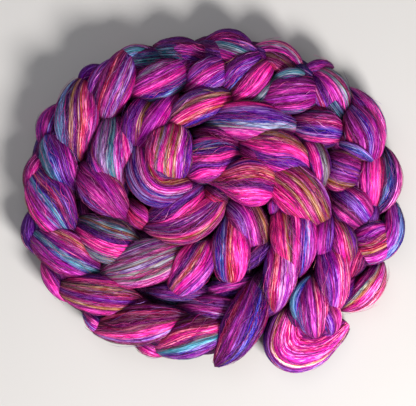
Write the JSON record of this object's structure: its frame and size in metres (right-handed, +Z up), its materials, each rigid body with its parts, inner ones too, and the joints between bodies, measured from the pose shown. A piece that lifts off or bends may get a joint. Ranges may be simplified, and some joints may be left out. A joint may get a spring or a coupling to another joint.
{
  "type": "braid of wool roving",
  "caption": "Combed wool top, hand-chained into a plump braid and coiled flat round a small hollow, with its free end folded back beside the outer turn.",
  "frame": {"origin": "middle of the outline in plan, on the surface that the braid rests on", "axes": "+Z up from that surface, the braid's shortest extent; +X across the coil's longest extent, towards the side where the outer turn is widest; the free end lies towards +X and -Y"},
  "size_m": [0.271, 0.2426, 0.06],
  "materials": {
    "dyed_wool": "soft combed wool in long fine streaks of magenta, plum, violet, blue, teal, gold and salmon, with a low silky sheen"
  },
  "bodies": {
    "root": {"braid": "dyed_wool"}
  },
  "joints": []
}
